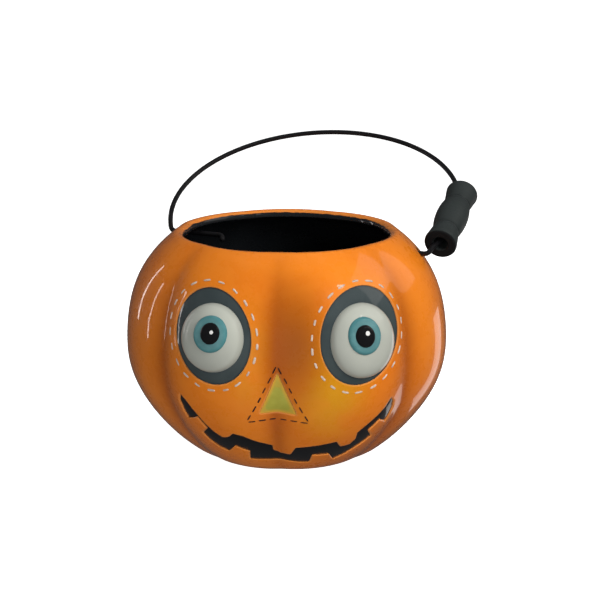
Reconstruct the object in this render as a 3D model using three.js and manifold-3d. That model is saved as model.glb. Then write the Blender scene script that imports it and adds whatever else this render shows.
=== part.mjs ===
// A ceramic pumpkin pail with a painted relief face, a swinging wire bail and a turned grip.
// Millimetres, +Z up, the face looks along -Y, and the origin is the middle of the flat foot.
import * as THREE from "three";
import { mergeVertices } from "three/addons/utils/BufferGeometryUtils.js";
import Module from "manifold-3d";

const wasm = await Module();
wasm.setup();

// ---- Driving dimensions: millimetres, and degrees where the name says so ----

const GAP = 0.3; // clearance between glazed-in pieces and their pockets

// The wall bulges from the foot to the equator and closes in to the rim.
const BODY = {
  radius: 90.6,
  equator: 65.8,
  rim: 125.2,
  upperDrop: 76.8,
  upperPower: 2.52,
  lowerDrop: 80,
  lowerPower: 1.73,
  blendFrom: 6,
  blendTo: 132,
  footRound: 4,
  footTuck: 5,
  wall: 6,
  floor: 7,
  lipRound: 3.9,
  lipLeanDeg: 54,
};
// Azimuths of the grooves between the lobes, measured from the front (-Y) towards +X.
const GROOVE_AZIMUTHS_DEG = [-48.5, -3.5, 48, 100.7, 153.4, 206.1, 258.8];
const GROOVE = { depthShare: 0.042, sharpness: 2.6, softness: 0.12, middle: 60, reach: 75 };
const COLUMNS_PER_LOBE = 10;

// Inlays sit in shallow pockets in the front wall; levels are measured from the wall's surface.
const POCKET_FLOOR = -2.5;
const INLAY_BACK = POCKET_FLOOR + GAP;
const SOCKET_FACE = -0.6;
const NOSE_FACE = -0.4;
const MOUTH_FACE = -0.9;

// Each eye: where its middle sits on the wall, half sizes along and up the wall, and the iris's offset.
const EYE_DEPTH = 9.6;
const EYE_SINK = 3;
const IRIS_RISE = 1.4;
const PUPIL_RISE = 1.3;
const EYES = [
  {
    side: "left",
    azimuthDeg: -25.9,
    height: 84.6,
    white: [17.9, 18],
    iris: { shift: [2.7, 2.5], half: [9.2, 9.6] },
    pupil: { shift: [3.6, 3], half: [5.2, 5.6] },
    socket: { middle: [-37.6, 84.4], half: [20, 24.2] },
  },
  {
    side: "right",
    azimuthDeg: 27.2,
    height: 82.9,
    white: [18.5, 19.6],
    iris: { shift: [-2.7, 3.2], half: [9, 9.8] },
    pupil: { shift: [-3.3, 3.2], half: [5.3, 5.8] },
    socket: { middle: [38.4, 84.6], half: [20.5, 24.7] },
  },
];

// Outlines as seen from the front: x to the right, z up.
const NOSE_OUTLINE = [
  [-4.2, 68],
  [-13.8, 45],
  [-4, 46],
  [6, 44.4],
];
const MOUTH_OUTLINE = [
  [-56, 50.5],
  [-56.5, 46.5],
  [-54.5, 41],
  [-52.2, 36],
  [-48.6, 37.5],
  [-47.2, 38.8],
  [-42, 31.8],
  [-44.6, 27.5],
  [-41, 23],
  [-36, 19],
  [-31, 16.6],
  [-27.4, 21.8],
  [-19.4, 18.4],
  [-19.5, 11.8],
  [-3.5, 12.2],
  [1, 11],
  [6.5, 10],
  [12.6, 9.8],
  [14, 15.8],
  [23.2, 15.8],
  [25.5, 10.4],
  [32, 13.8],
  [37, 17.2],
  [41, 20],
  [46, 24.2],
  [44, 29.2],
  [50.2, 35.4],
  [53.3, 32.6],
  [55.2, 36.5],
  [57, 41.4],
  [57.4, 45],
  [56, 47.8],
  [52.6, 42.6],
  [48.5, 38.3],
  [43.5, 34],
  [38.2, 29.4],
  [37.4, 24.8],
  [34.2, 21],
  [29.2, 20.4],
  [27, 24.8],
  [18, 23.2],
  [11.3, 22.3],
  [5.2, 21.6],
  [2.4, 16],
  [-2.6, 17.2],
  [-6.8, 19.6],
  [-7.4, 23.2],
  [-17, 26.6],
  [-23.2, 29.6],
  [-28, 30.6],
  [-31, 27.4],
  [-33.8, 26.8],
  [-38, 29.6],
  [-42.6, 34.4],
  [-48.4, 41.6],
  [-53, 47.6],
];

// The bail pivots on the line through its two holes and lies back at rest.
const BAIL = {
  wire: 3,
  leftHole: new THREE.Vector3(-64, 35.2, 117),
  rightHole: new THREE.Vector3(73.2, -10.3, 113.8),
  holeDiameter: 6,
  holeReach: 14,
  archCentre: new THREE.Vector3(15.7, 42.2, 131.6),
  archRadius: 84.3,
  yawDeg: 13,
  leanDeg: 68,
  leftEndDeg: -107,
  rightEndDeg: 117,
  leftStandoff: 3.8,
  rightStandoff: 5,
  leftInside: 28,
  rightInside: 24,
  tip: 5.7,
  bend: 3,
};
const WIRE_STEPS = 116;
const WIRE_SIDES = 8;

// The grip is a straight turned bead that slides along the curved wire.
const GRIP = {
  length: 54.4,
  radius: 9.3,
  neckRadius: 7.5,
  barrelLength: 27,
  bore: 8.4,
  edgeRound: 1.5,
  middleDeg: 96,
  axisRadius: 82,
};

// ---- Solids ----

const { degToRad: rad, lerp, smoothstep } = THREE.MathUtils;

// A closed geometry as a solid that can be joined and cut.
function solidOf(geometry) {
  const bare = geometry.index ? geometry.toNonIndexed() : geometry.clone();
  bare.deleteAttribute("normal");
  bare.deleteAttribute("uv");
  const merged = mergeVertices(bare, 1e-4);
  return new wasm.Manifold(
    new wasm.Mesh({
      numProp: 3,
      vertProperties: merged.attributes.position.array,
      triVerts: new Uint32Array(merged.index.array),
    }),
  );
}

function geometryOf(solid) {
  const mesh = solid.getMesh();
  const geometry = new THREE.BufferGeometry();
  geometry.setAttribute("position", new THREE.BufferAttribute(mesh.vertProperties, 3));
  geometry.setIndex(new THREE.BufferAttribute(mesh.triVerts, 1));
  geometry.computeVertexNormals();
  return geometry;
}

// A closed skin over rings of points, with a single point at its start and its end.
function skinOver(start, rings, end) {
  const points = [start, ...rings.flat(), end];
  const count = rings[0].length;
  const last = points.length - 1;
  const at = (ring, k) => 1 + ring * count + (k % count);
  const faces = [];
  for (let k = 0; k < count; k++) {
    faces.push(0, at(0, k + 1), at(0, k));
    for (let ring = 0; ring < rings.length - 1; ring++) {
      faces.push(at(ring, k), at(ring, k + 1), at(ring + 1, k + 1));
      faces.push(at(ring, k), at(ring + 1, k + 1), at(ring + 1, k));
    }
    faces.push(last, at(rings.length - 1, k), at(rings.length - 1, k + 1));
  }
  const geometry = new THREE.BufferGeometry().setFromPoints(points);
  geometry.setIndex(faces);
  return geometry;
}

// ---- The pumpkin's wall ----

// Radius over a lobe's crest at a height. The lower curve blends into the upper one, so that the
// bulge has no crease at the equator.
function crestRadius(z) {
  const above = smoothstep(z, BODY.blendFrom, BODY.blendTo);
  const drop = lerp(BODY.lowerDrop, BODY.upperDrop, above);
  const power = lerp(BODY.lowerPower, BODY.upperPower, above);
  const share = Math.abs(z - BODY.equator) / drop;
  const radius = BODY.radius * Math.sqrt(1 - share ** power);
  const tuck = Math.max(0, 1 - z / BODY.footRound);
  return radius - BODY.footTuck * (1 - Math.sqrt(1 - tuck * tuck));
}

// Crest-to-groove share: 0 on a crest, 1 in a groove; phase runs from -1 to 1 across a lobe.
function grooveShare(phase) {
  const away = 1 - Math.abs(phase);
  const soft = Math.hypot(away, GROOVE.softness) - GROOVE.softness;
  return (1 - soft) ** GROOVE.sharpness;
}

// Columns of the wall: an azimuth and a groove share for each, the same number to every lobe.
const COLUMNS = GROOVE_AZIMUTHS_DEG.flatMap((from, i) => {
  const next = GROOVE_AZIMUTHS_DEG[i + 1] ?? GROOVE_AZIMUTHS_DEG[0] + 360;
  return Array.from({ length: COLUMNS_PER_LOBE }, (_, k) => ({
    azimuth: rad(from + ((next - from) * k) / COLUMNS_PER_LOBE),
    share: grooveShare((2 * k) / COLUMNS_PER_LOBE - 1),
  }));
});

// One ring of the wall at a height, moved outwards by an offset; strength 0 gives a plain circle.
function wallRing(z, radius, strength = 1) {
  const fade = Math.max(0, 1 - (Math.abs(z - GROOVE.middle) / GROOVE.reach) ** 4);
  const depth = radius * GROOVE.depthShare * fade * strength;
  return COLUMNS.map(({ azimuth, share }) => {
    const r = radius - depth * share;
    return new THREE.Vector3(r * Math.sin(azimuth), -r * Math.cos(azimuth), z);
  });
}

const spread = (from, to, count) =>
  Array.from({ length: count }, (_, i) => from + ((to - from) * i) / (count - 1));

// The lip is a rolled bead that leaves the wall where the wall leans in by lipLeanDeg.
const LIP_START = BODY.rim - BODY.lipRound * (1 - Math.sin(rad(BODY.lipLeanDeg)));
const OUTER_HEIGHTS = [0, 0.6, 1.8, 4, ...spread(9, LIP_START, 17)];

// The wall's outside as a plain solid, grown or shrunk by an offset: the reference for every inlay.
function wallSolid(offset) {
  const rings = OUTER_HEIGHTS.map((z) => wallRing(z, crestRadius(z) + offset));
  const bottom = new THREE.Vector3(0, 0, 0);
  const top = new THREE.Vector3(0, 0, LIP_START);
  return solidOf(skinOver(bottom, rings, top));
}

function shellSolid() {
  const outer = OUTER_HEIGHTS.map((z) => wallRing(z, crestRadius(z)));
  const lipRadius = crestRadius(LIP_START) - BODY.lipRound * Math.cos(rad(BODY.lipLeanDeg));
  const lip = spread(72, 180, 6).map((angle) =>
    wallRing(
      BODY.rim - BODY.lipRound * (1 - Math.sin(rad(angle))),
      lipRadius + BODY.lipRound * Math.cos(rad(angle)),
    ),
  );
  const inner = spread(BODY.rim - 8, BODY.floor + 8, 10).map((z) =>
    wallRing(z, crestRadius(z) - BODY.wall, 0.8),
  );
  const cornerRadius = crestRadius(BODY.floor + 8) - BODY.wall;
  const cove = [
    wallRing(BODY.floor + 2.5, cornerRadius - 6, 0.5),
    wallRing(BODY.floor, cornerRadius - 14, 0),
  ];
  const bottom = new THREE.Vector3(0, 0, 0);
  const floor = new THREE.Vector3(0, 0, BODY.floor);
  return solidOf(skinOver(bottom, [...outer, ...lip, ...inner, ...cove], floor));
}

// ---- Pieces let into the front of the wall ----

const FRONT_REACH = [-110, -20];

// An outline drawn as seen from the front, run through the front wall along Y.
function frontPrism(shape) {
  const [near, far] = FRONT_REACH;
  const prism = new THREE.ExtrudeGeometry(shape, {
    depth: far - near,
    bevelEnabled: false,
    curveSegments: 20,
  });
  prism.rotateX(Math.PI / 2);
  prism.translate(0, far, 0);
  return solidOf(prism);
}

// An outline moved inwards by a margin, corner by corner.
function inset(outline, margin) {
  const winding = Math.sign(THREE.ShapeUtils.area(outline));
  return outline.map((point, i) => {
    const before = outline.at(i - 1);
    const after = outline[(i + 1) % outline.length];
    const into = point.clone().sub(before).normalize();
    const out = after.clone().sub(point).normalize();
    const normalIn = new THREE.Vector2(-into.y, into.x);
    const normalOut = new THREE.Vector2(-out.y, out.x);
    const mitre = normalIn.add(normalOut).normalize();
    const reach = (winding * margin) / Math.max(0.5, mitre.dot(normalOut));
    return point.clone().addScaledVector(mitre, reach);
  });
}

function outlineShape(points, margin) {
  const outline = points.map(([x, z]) => new THREE.Vector2(x, z));
  return new THREE.Shape(inset(outline, margin));
}

function ovalShape({ middle, half }, margin) {
  const shape = new THREE.Shape();
  shape.absellipse(...middle, half[0] - margin, half[1] - margin, 0, Math.PI * 2);
  return shape;
}

const pocketCore = wallSolid(POCKET_FLOOR);
const inlayCore = wallSolid(INLAY_BACK);

const pocketOf = (shape) => frontPrism(shape).subtract(pocketCore);
const inlayOf = (shape, face) =>
  frontPrism(shape).intersect(wallSolid(face)).subtract(inlayCore);

// ---- Eyes ----

// The place on the wall where an eye sits: x along the wall, y up the wall, z out of it.
function eyeFrame({ azimuthDeg, height }) {
  const azimuth = rad(azimuthDeg);
  const radius = crestRadius(height) * (1 - GROOVE.depthShare * 0.05);
  const slope = (crestRadius(height + 1) - crestRadius(height - 1)) / 2;
  const out = new THREE.Vector3(Math.sin(azimuth), -Math.cos(azimuth), -slope).normalize();
  const along = new THREE.Vector3(Math.cos(azimuth), Math.sin(azimuth), 0);
  const up = new THREE.Vector3().crossVectors(out, along);
  const place = new THREE.Vector3(
    radius * Math.sin(azimuth),
    -radius * Math.cos(azimuth),
    height,
  ).addScaledVector(out, -EYE_SINK);
  return new THREE.Matrix4().makeBasis(along, up, out).setPosition(place);
}

// An egg-shaped dome of the eye, grown by a rise.
function domeSolid(eye, rise, frame) {
  const dome = new THREE.SphereGeometry(1, 30, 18);
  dome.rotateX(Math.PI / 2);
  dome.scale(eye.white[0] + rise, eye.white[1] + rise, EYE_DEPTH + rise);
  dome.applyMatrix4(frame);
  return solidOf(dome);
}

// An oval plug that stands out of the eye, used to cut a disc from a dome.
function plugSolid({ shift, half }, frame) {
  const plug = new THREE.CylinderGeometry(1, 1, 20, 24);
  plug.rotateX(Math.PI / 2);
  plug.scale(half[0], half[1], 1);
  plug.translate(shift[0], shift[1], 12);
  plug.applyMatrix4(frame);
  return solidOf(plug);
}

// ---- Bail ----

// Directions of the arch: across it, up it to its top, and square to its plane.
const ACROSS = new THREE.Vector3(Math.cos(rad(BAIL.yawDeg)), -Math.sin(rad(BAIL.yawDeg)), 0);
const BACKWARDS = new THREE.Vector3(Math.sin(rad(BAIL.yawDeg)), Math.cos(rad(BAIL.yawDeg)), 0);
const UP_ARCH = BACKWARDS.clone()
  .multiplyScalar(Math.sin(rad(BAIL.leanDeg)))
  .addScaledVector(new THREE.Vector3(0, 0, 1), Math.cos(rad(BAIL.leanDeg)));
const OFF_PLANE = new THREE.Vector3().crossVectors(ACROSS, UP_ARCH);
const PIVOT_LINE = BAIL.rightHole.clone().sub(BAIL.leftHole).normalize();

// A point on the arch, by its angle from the top towards the right end.
function archPoint(angleDeg, radius = BAIL.archRadius) {
  return BAIL.archCentre
    .clone()
    .addScaledVector(ACROSS, radius * Math.sin(rad(angleDeg)))
    .addScaledVector(UP_ARCH, radius * Math.cos(rad(angleDeg)));
}

class ArchCurve extends THREE.Curve {
  getPoint(t, target = new THREE.Vector3()) {
    return target.copy(archPoint(lerp(BAIL.leftEndDeg, BAIL.rightEndDeg, t)));
  }
}

// Straight runs through the points, with each inner corner rounded.
function addRuns(path, points) {
  let from = points[0];
  for (let i = 1; i < points.length - 1; i++) {
    const corner = points[i];
    const reach = Math.min(BAIL.bend, 0.45 * corner.distanceTo(points[i - 1]));
    const enter = corner.clone().lerp(points[i - 1], reach / corner.distanceTo(points[i - 1]));
    const leave = corner.clone().lerp(points[i + 1], reach / corner.distanceTo(points[i + 1]));
    path.add(new THREE.LineCurve3(from, enter));
    path.add(new THREE.QuadraticBezierCurve3(enter, corner, leave));
    from = leave;
  }
  path.add(new THREE.LineCurve3(from, points.at(-1)));
}

// The wire's centre line: hooked end, stub through the left hole, arch, stub, hooked end.
function wirePath() {
  const hook = UP_ARCH.clone().multiplyScalar(-0.966).addScaledVector(PIVOT_LINE, 0.26);
  const along = (hole, distance) => hole.clone().addScaledVector(PIVOT_LINE, distance);
  const leftInner = along(BAIL.leftHole, BAIL.leftInside);
  const rightInner = along(BAIL.rightHole, -BAIL.rightInside);
  const path = new THREE.CurvePath();
  addRuns(path, [
    leftInner.clone().addScaledVector(hook, BAIL.tip),
    leftInner,
    along(BAIL.leftHole, -BAIL.leftStandoff),
    archPoint(BAIL.leftEndDeg),
  ]);
  path.add(new ArchCurve());
  addRuns(path, [
    archPoint(BAIL.rightEndDeg),
    along(BAIL.rightHole, BAIL.rightStandoff),
    rightInner,
    rightInner.clone().addScaledVector(hook, BAIL.tip),
  ]);
  return path;
}

function bailGeometry() {
  const section = new THREE.Shape();
  const radius = BAIL.wire / 2;
  for (let i = 0; i < WIRE_SIDES; i++) {
    const angle = (2 * Math.PI * i) / WIRE_SIDES;
    const corner = [radius * Math.cos(angle), radius * Math.sin(angle)];
    if (i === 0) section.moveTo(...corner);
    else section.lineTo(...corner);
  }
  return new THREE.ExtrudeGeometry(section, { steps: WIRE_STEPS, extrudePath: wirePath() });
}

// A round cutter along the pivot line, through the wall on one side only.
function holeCutter(hole) {
  const cutter = new THREE.CylinderGeometry(
    BAIL.holeDiameter / 2,
    BAIL.holeDiameter / 2,
    2 * BAIL.holeReach,
    20,
  );
  cutter.applyQuaternion(
    new THREE.Quaternion().setFromUnitVectors(new THREE.Vector3(0, 1, 0), PIVOT_LINE),
  );
  cutter.translate(...hole.toArray());
  return solidOf(cutter);
}

// ---- Grip ----

// The grip's outline on one side of its middle: a barrel, a neck, and a cone that flares to the end.
function gripRadius(y) {
  const halfBarrel = GRIP.barrelLength / 2;
  const rise = GRIP.radius - GRIP.neckRadius;
  if (y < halfBarrel) return GRIP.radius - rise * (y / halfBarrel) ** 2;
  const share = (y - halfBarrel) / (GRIP.length / 2 - GRIP.edgeRound - halfBarrel);
  return GRIP.neckRadius + rise * Math.min(share, 1);
}

function gripGeometry() {
  const half = GRIP.length / 2;
  const upper = [
    ...spread(0, GRIP.barrelLength / 2, 5),
    ...spread(GRIP.barrelLength / 2 + 2, half - GRIP.edgeRound, 4),
  ].map((y) => new THREE.Vector2(gripRadius(y), y));
  for (const angle of [30, 60, 90]) {
    const across = GRIP.radius - GRIP.edgeRound * (1 - Math.cos(rad(angle)));
    upper.push(new THREE.Vector2(across, half - GRIP.edgeRound * (1 - Math.sin(rad(angle)))));
  }
  upper.push(new THREE.Vector2(GRIP.bore / 2, half));
  const lower = upper.slice(1).map((p) => new THREE.Vector2(p.x, -p.y));
  const profile = [...lower.reverse(), ...upper];
  profile.push(profile[0].clone());
  const grip = new THREE.LatheGeometry(profile, 24);
  const middle = archPoint(GRIP.middleDeg, GRIP.axisRadius);
  const along = ACROSS.clone()
    .multiplyScalar(Math.cos(rad(GRIP.middleDeg)))
    .addScaledVector(UP_ARCH, -Math.sin(rad(GRIP.middleDeg)));
  const outward = new THREE.Vector3().crossVectors(along, OFF_PLANE);
  grip.applyMatrix4(
    new THREE.Matrix4().makeBasis(outward, along, OFF_PLANE).setPosition(middle),
  );
  return grip;
}

// ---- Assembly ----

const FINISHES = {
  glaze: { color: 0xc8682a, roughness: 0.12, metalness: 0 },
  socket: { color: 0x39474a, roughness: 0.15, metalness: 0 },
  white: { color: 0xe2e0d6, roughness: 0.08, metalness: 0 },
  iris: { color: 0x3f9aa0, roughness: 0.08, metalness: 0 },
  black: { color: 0x121413, roughness: 0.1, metalness: 0 },
  nose: { color: 0xd8cf58, roughness: 0.12, metalness: 0 },
  wire: { color: 0x1b1d1e, roughness: 0.45, metalness: 0.3 },
  grip: { color: 0x3a4242, roughness: 0.6, metalness: 0 },
};

const group = new THREE.Group();

function addPiece(name, geometry, finish) {
  const mesh = new THREE.Mesh(geometry, new THREE.MeshStandardMaterial(FINISHES[finish]));
  mesh.name = name;
  group.add(mesh);
}

let shell = shellSolid();
for (const hole of [BAIL.leftHole, BAIL.rightHole]) shell = shell.subtract(holeCutter(hole));
for (const eye of EYES) shell = shell.subtract(pocketOf(ovalShape(eye.socket, 0)));
shell = shell.subtract(pocketOf(outlineShape(NOSE_OUTLINE, 0)));
shell = shell.subtract(pocketOf(outlineShape(MOUTH_OUTLINE, 0)));
addPiece("pumpkin_shell", geometryOf(shell), "glaze");

const eyeSeat = wallSolid(SOCKET_FACE + GAP);
for (const eye of EYES) {
  const frame = eyeFrame(eye);
  const irisTop = IRIS_RISE + GAP;
  const pupilTop = irisTop + PUPIL_RISE;
  const ball = domeSolid(eye, 0, frame).subtract(eyeSeat);
  const iris = domeSolid(eye, irisTop, frame)
    .subtract(domeSolid(eye, GAP, frame))
    .intersect(plugSolid(eye.iris, frame));
  const pupil = domeSolid(eye, pupilTop, frame)
    .subtract(domeSolid(eye, irisTop + GAP, frame))
    .intersect(plugSolid(eye.pupil, frame));
  const socket = inlayOf(ovalShape(eye.socket, GAP), SOCKET_FACE);
  addPiece(`${eye.side}_eye_socket`, geometryOf(socket), "socket");
  addPiece(`${eye.side}_eyeball`, geometryOf(ball), "white");
  addPiece(`${eye.side}_iris`, geometryOf(iris), "iris");
  addPiece(`${eye.side}_pupil`, geometryOf(pupil), "black");
}
addPiece("nose_inlay", geometryOf(inlayOf(outlineShape(NOSE_OUTLINE, GAP), NOSE_FACE)), "nose");
addPiece("mouth_inlay", geometryOf(inlayOf(outlineShape(MOUTH_OUTLINE, GAP), MOUTH_FACE)), "black");
addPiece("bail_wire", bailGeometry(), "wire");
addPiece("grip", gripGeometry(), "grip");

export default group;
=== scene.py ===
"""Looks for the ceramic pumpkin pail. Shapes are built in millimetres and placed in metres."""
import math

import bpy
import numpy as np
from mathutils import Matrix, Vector
from mathutils.geometry import delaunay_2d_cdt


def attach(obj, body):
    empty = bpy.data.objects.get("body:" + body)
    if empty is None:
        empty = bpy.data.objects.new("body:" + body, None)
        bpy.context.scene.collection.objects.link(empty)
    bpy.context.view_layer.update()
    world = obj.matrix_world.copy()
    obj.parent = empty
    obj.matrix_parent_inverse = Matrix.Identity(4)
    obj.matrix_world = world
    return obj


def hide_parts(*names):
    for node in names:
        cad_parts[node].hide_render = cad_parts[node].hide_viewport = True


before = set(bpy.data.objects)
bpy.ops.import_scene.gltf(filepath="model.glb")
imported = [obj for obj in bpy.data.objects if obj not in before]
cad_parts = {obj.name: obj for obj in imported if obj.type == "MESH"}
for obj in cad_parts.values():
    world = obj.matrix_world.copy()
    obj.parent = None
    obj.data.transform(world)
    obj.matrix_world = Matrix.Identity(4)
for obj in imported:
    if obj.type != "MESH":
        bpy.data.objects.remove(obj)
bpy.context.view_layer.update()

MM = 0.001
RNG = np.random.default_rng(11)

# ---- The wall: the same curves as the CAD model ----

EQUATOR, EQUATOR_RADIUS = 65.8, 90.6  # the widest place
LOWER_DROP, UPPER_DROP = 80, 76.8  # half heights of the lower and the upper curve
LOWER_POWER, UPPER_POWER = 1.73, 2.52  # how square each curve is
BLEND_FROM, BLEND_TO = 6, 132  # heights between which the lower turns into the upper
FOOT_TUCK, FOOT_TUCK_HEIGHT = 5, 4  # the rounding above the foot
RIM = 125.2
LIP_ROUND = 3.9
LIP_LEAN = math.radians(54)
LIP_START = RIM - LIP_ROUND * (1 - math.sin(LIP_LEAN))
WALL = 6
FLOOR = 7
FLOOR_CORNER_RISE, FLOOR_CORNER_REACH = 8, 14
BELOW_LIP = 8  # how far under the rim the plain inside wall starts
FOOT_HOLLOW = 1.1  # rise of the bare clay inside the foot ring
FOOT_PROFILE = [(0.3, FOOT_HOLLOW), (0.6, FOOT_HOLLOW), (0.8, FOOT_HOLLOW), (0.85, 0.95),
                (0.875, 0.5), (0.9, 0.12), (0.93, 0.0), (0.975, 0.0)]
GROOVES = np.radians([-48.5, -3.5, 48, 100.7, 153.4, 206.1, 258.8, 311.5])
GROOVE_DEPTH = 0.042  # as a share of the radius
GROOVE_DEPTH_INSIDE = 0.8  # strength of the grooves on the inside wall
GROOVE_SOFT = 0.075
GROOVE_POWER = 2.6
GROOVE_MIDDLE, GROOVE_REACH = 60, 75  # middle height, and how far up and down they run
SOCKET_FACE, NOSE_FACE, MOUTH_FACE = -0.6, -0.4, -0.9
POCKET_FLOOR = -2.4
INLAY_BACK = -2.3
OUTLINE_STEP = 0.55

NOSE = [(-4.2, 68), (-13.8, 45), (-4, 46), (6, 44.4)]
MOUTH = [
    (-56, 50.5), (-56.5, 46.5), (-54.5, 41), (-52.2, 36), (-48.6, 37.5), (-47.2, 38.8),
    (-42, 31.8), (-44.6, 27.5), (-41, 23), (-36, 19), (-31, 16.6), (-27.4, 21.8),
    (-19.4, 18.4), (-19.5, 11.8), (-3.5, 12.2), (1, 11), (6.5, 10), (12.6, 9.8),
    (14, 15.8), (23.2, 15.8), (25.5, 10.4), (32, 13.8), (37, 17.2), (41, 20),
    (46, 24.2), (44, 29.2), (50.2, 35.4), (53.3, 32.6), (55.2, 36.5), (57, 41.4),
    (57.4, 45), (56, 47.8), (52.6, 42.6), (48.5, 38.3), (43.5, 34), (38.2, 29.4),
    (37.4, 24.8), (34.2, 21), (29.2, 20.4), (27, 24.8), (18, 23.2), (11.3, 22.3),
    (5.2, 21.6), (2.4, 16), (-2.6, 17.2), (-6.8, 19.6), (-7.4, 23.2), (-17, 26.6),
    (-23.2, 29.6), (-28, 30.6), (-31, 27.4), (-33.8, 26.8), (-38, 29.6), (-42.6, 34.4),
    (-48.4, 41.6), (-53, 47.6),
]
EYES = [
    dict(side="left", azimuth=-25.9, height=84.6, white=(17.9, 18),
         iris=((2.7, 2.5), (9.2, 9.6)), pupil=((3.6, 3), (5.2, 5.6)), glint=(1.4, 0.8, 1.0),
         socket=((-37.6, 84.4), (20, 24.2)),
         stitches=dict(count=21, first=27, out=3.3, shift=(0, 0))),
    dict(side="right", azimuth=27.2, height=82.9, white=(18.5, 19.6),
         iris=((-2.7, 3.2), (9, 9.8)), pupil=((-3.3, 3.2), (5.3, 5.8)), glint=(0.7, 1.5, 1.2),
         socket=((38.4, 84.6), (20.5, 24.7)),
         stitches=dict(count=22, first=10, out=3.3, shift=(-1.2, -0.8))),
]
EYE_DEPTH = 9.6
EYE_SINK = 3
EYE_INSET = 0.0015  # as a share of the radius
IRIS_RISE, IRIS_ROUND = 1.3, 1.5
PUPIL_RISE, PUPIL_ROUND = 1.2, 1.9
GLINT_RISE, GLINT_ROUND, GLINT_SINK = 0.12, 0.6, 0.02


def smoothstep(x, low, high):
    """0 below low, 1 above high, smooth between."""
    t = np.clip((x - low) / (high - low), 0, 1)
    return t * t * (3 - 2 * t)


def crest_radius(z):
    """The wall's radius at a lobe's crest."""
    above = smoothstep(z, BLEND_FROM, BLEND_TO)
    drop = LOWER_DROP + (UPPER_DROP - LOWER_DROP) * above
    power = LOWER_POWER + (UPPER_POWER - LOWER_POWER) * above
    tuck = np.maximum(0, 1 - z / FOOT_TUCK_HEIGHT)
    radius = EQUATOR_RADIUS * np.sqrt(1 - (np.abs(z - EQUATOR) / drop) ** power)
    return radius - FOOT_TUCK * (1 - np.sqrt(1 - tuck**2))


def groove_share(azimuth):
    """0 on a lobe's crest, 1 in a groove."""
    turn = np.mod(azimuth - GROOVES[0], 2 * math.pi) + GROOVES[0]
    lobe = np.clip(np.searchsorted(GROOVES, turn, side="right") - 1, 0, len(GROOVES) - 2)
    phase = 2 * (turn - GROOVES[lobe]) / (GROOVES[lobe + 1] - GROOVES[lobe]) - 1
    away = 1 - np.abs(phase)
    soft = np.hypot(away, GROOVE_SOFT) - GROOVE_SOFT
    return (1 - soft) ** GROOVE_POWER


def groove_fade(z):
    """1 at the grooves' middle height, 0 where they end."""
    return np.maximum(0, 1 - (np.abs(z - GROOVE_MIDDLE) / GROOVE_REACH) ** 4)


# Long, faint waves that slip casting and glaze leave in the wall: direction, wavelength, height.
WAVES = [((1, 0.3, 0.2), 34, 0.05), ((-0.3, 1, 0.4), 27, 0.04), ((0.2, -0.5, 1), 41, 0.06),
         ((0.8, 0.7, -0.5), 17, 0.018), ((-0.9, 0.4, 0.8), 13, 0.012)]
WAVE_SHIFT = 1.7  # radians from one wave's start to the next one's


def waviness(points):
    """How far the waves move the wall, never outwards."""
    total = np.zeros(len(points))
    for turn, (direction, length, height) in enumerate(WAVES):
        phase = points @ unit(direction) * 2 * math.pi / length + WAVE_SHIFT * turn
        total += height * (np.sin(phase) - 1)
    return total


def unit(vectors):
    return vectors / np.linalg.norm(vectors, axis=-1, keepdims=True)


def full_turn(count):
    return np.linspace(0, 2 * math.pi, count, endpoint=False)


def around(radius, azimuth, z):
    """Points at a radius and a height. Azimuth 0 is the face's side, -Y."""
    return np.stack([radius * np.sin(azimuth), -radius * np.cos(azimuth), z], axis=-1)


def wall_radius(azimuth, z, strength=1.0):
    cut = GROOVE_DEPTH * groove_fade(z) * strength * groove_share(azimuth)
    return crest_radius(z) * (1 - cut)


def wall_point(azimuth, z, depth=0.0):
    """Points on the outside of the wall, or moved outwards by a depth."""
    azimuth, z = np.broadcast_arrays(np.asarray(azimuth, float), np.asarray(z, float))
    radius = wall_radius(azimuth, z)
    bare = around(radius, azimuth, z)
    return around(radius + waviness(bare.reshape(-1, 3)).reshape(radius.shape) + depth, azimuth, z)


def wall_normal(azimuth, z):
    turn, rise = 1e-3, 0.1
    across = wall_point(azimuth + turn, z) - wall_point(azimuth - turn, z)
    up = wall_point(azimuth, z + rise) - wall_point(azimuth, z - rise)
    return unit(np.cross(across, up))


def azimuth_at(x, z):
    """The azimuth at which the front of the wall lies at x."""
    limit = 0.98
    azimuth = np.arcsin(np.clip(x / crest_radius(z), -limit, limit))
    for _ in range(8):
        azimuth = np.arcsin(np.clip(x / wall_radius(azimuth, z), -limit, limit))
    return azimuth


# ---- Outlines, as seen from the front ----


def rounded(outline, reach):
    """The outline with a small curve at each corner."""
    points = np.array(outline, float)
    out = []
    for i, corner in enumerate(points):
        before, after = points[i - 1], points[(i + 1) % len(points)]
        enter = corner + (before - corner) * min(0.45, reach / np.linalg.norm(before - corner))
        leave = corner + (after - corner) * min(0.45, reach / np.linalg.norm(after - corner))
        for t in (0, 0.5, 1):
            out.append((1 - t) ** 2 * enter + 2 * t * (1 - t) * corner + t * t * leave)
    return np.array(out)


def dense(outline, step):
    """The outline as closely spaced points, running anticlockwise."""
    points = []
    for i, start in enumerate(outline):
        end = outline[(i + 1) % len(outline)]
        n = max(1, round(float(np.linalg.norm(end - start)) / step))
        points += [start + (end - start) * k / n for k in range(n)]
    loop = np.array(points)
    x, y = loop.T
    area = np.sum(x * np.roll(y, -1) - np.roll(x, -1) * y)
    return loop if area > 0 else loop[::-1]


def oval(middle, half, grow=0.0, count=260):
    t = full_turn(count)
    return np.stack([middle[0] + (half[0] + grow) * np.cos(t),
                     middle[1] + (half[1] + grow) * np.sin(t)], axis=1)


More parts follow.
